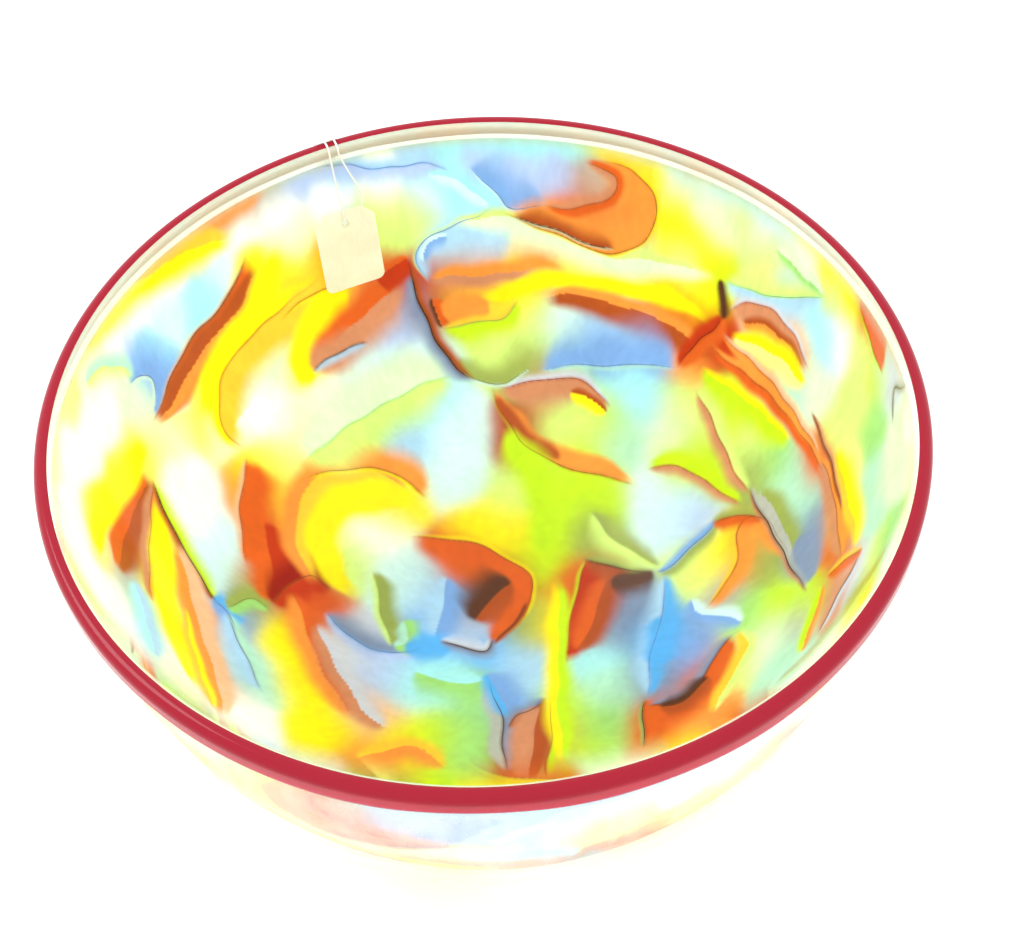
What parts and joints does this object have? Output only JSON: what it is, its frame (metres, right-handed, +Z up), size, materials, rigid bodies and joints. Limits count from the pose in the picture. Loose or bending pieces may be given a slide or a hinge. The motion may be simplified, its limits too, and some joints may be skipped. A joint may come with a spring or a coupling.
{
  "type": "art glass bowl",
  "caption": "Deep hand-blown glass bowl with a mosaic of coloured glass shards cased in its wall, a ruby lip wrap and a blank paper tag tied over the lip.",
  "frame": {"origin": "centre of the ground base, on the surface the bowl stands on", "axes": "+Z up along the bowl's axis; -Y is the near side; the tag hangs on the far side, a little towards -X"},
  "size_m": [0.3, 0.3, 0.1663],
  "materials": {
    "opal_glass": "fire-polished milky glass",
    "clear_glass": "fire-polished clear glass, glossy",
    "ruby_glass": "fire-polished ruby glass, glossy",
    "white_glass": "coloured glass with soft streaks, sealed in the wall",
    "amber_glass": "coloured glass with soft streaks, sealed in the wall",
    "orange_glass": "coloured glass with soft streaks, sealed in the wall",
    "rust_glass": "coloured glass with soft streaks, sealed in the wall",
    "lime_glass": "coloured glass with soft streaks, sealed in the wall",
    "green_glass": "coloured glass with soft streaks, sealed in the wall",
    "sky_glass": "coloured glass with soft streaks, sealed in the wall",
    "blue_glass": "coloured glass with soft streaks, sealed in the wall",
    "lavender_glass": "coloured glass with soft streaks, sealed in the wall",
    "tag_paper": "matte card",
    "tag_thread": "thin twisted string",
    "tag_film": "clear film, slightly cloudy"
  },
  "bodies": {
    "bowl": {"clear_lining": "clear_glass", "opal_casing": "opal_glass", "ruby_lip_wrap": "ruby_glass", "shard_amber_01": "amber_glass", "shard_amber_02": "amber_glass", "shard_amber_03": "amber_glass", "shard_amber_04": "amber_glass", "shard_amber_05": "amber_glass", "shard_amber_06": "amber_glass", "shard_amber_07": "amber_glass", "shard_blue_01": "blue_glass", "shard_blue_02": "blue_glass", "shard_blue_03": "blue_glass", "shard_blue_04": "blue_glass", "shard_green_01": "green_glass", "shard_green_02": "green_glass", "shard_green_03": "green_glass", "shard_green_04": "green_glass", "shard_lavender_01": "lavender_glass", "shard_lavender_02": "lavender_glass", "shard_lime_01": "lime_glass", "shard_lime_02": "lime_glass", "shard_lime_03": "lime_glass", "shard_lime_04": "lime_glass", "shard_lime_05": "lime_glass", "shard_orange_01": "orange_glass", "shard_orange_02": "orange_glass", "shard_orange_03": "orange_glass", "shard_orange_04": "orange_glass", "shard_orange_05": "orange_glass", "shard_orange_06": "orange_glass", "shard_orange_07": "orange_glass", "shard_orange_08": "orange_glass", "shard_orange_09": "orange_glass", "shard_orange_10": "orange_glass", "shard_orange_11": "orange_glass", "shard_orange_12": "orange_glass", "shard_orange_13": "orange_glass", "shard_orange_14": "orange_glass", "shard_rust_01": "rust_glass", "shard_rust_02": "rust_glass", "shard_rust_03": "rust_glass", "shard_rust_04": "rust_glass", "shard_sky_01": "sky_glass", "shard_sky_02": "sky_glass", "shard_sky_03": "sky_glass", "shard_sky_04": "sky_glass", "shard_sky_05": "sky_glass", "shard_sky_06": "sky_glass", "shard_sky_07": "sky_glass", "shard_white_01": "white_glass", "shard_white_02": "white_glass", "shard_white_03": "white_glass", "shard_white_04": "white_glass", "shard_white_05": "white_glass", "shard_white_06": "white_glass", "tag_string_over_lip": "tag_thread", "tag_tape": "tag_film"},
    "tag": {"tag_card": "tag_paper", "tag_string_hanging": "tag_thread"}
  },
  "joints": [
    {"name": "tag_swing", "type": "hinge", "parent": "bowl", "child": "tag", "pos_m": [-0.05171, 0.13332, 0.16025], "axis": [-0.9323, -0.3616, 0], "range_deg": [0, 70]}
  ]
}
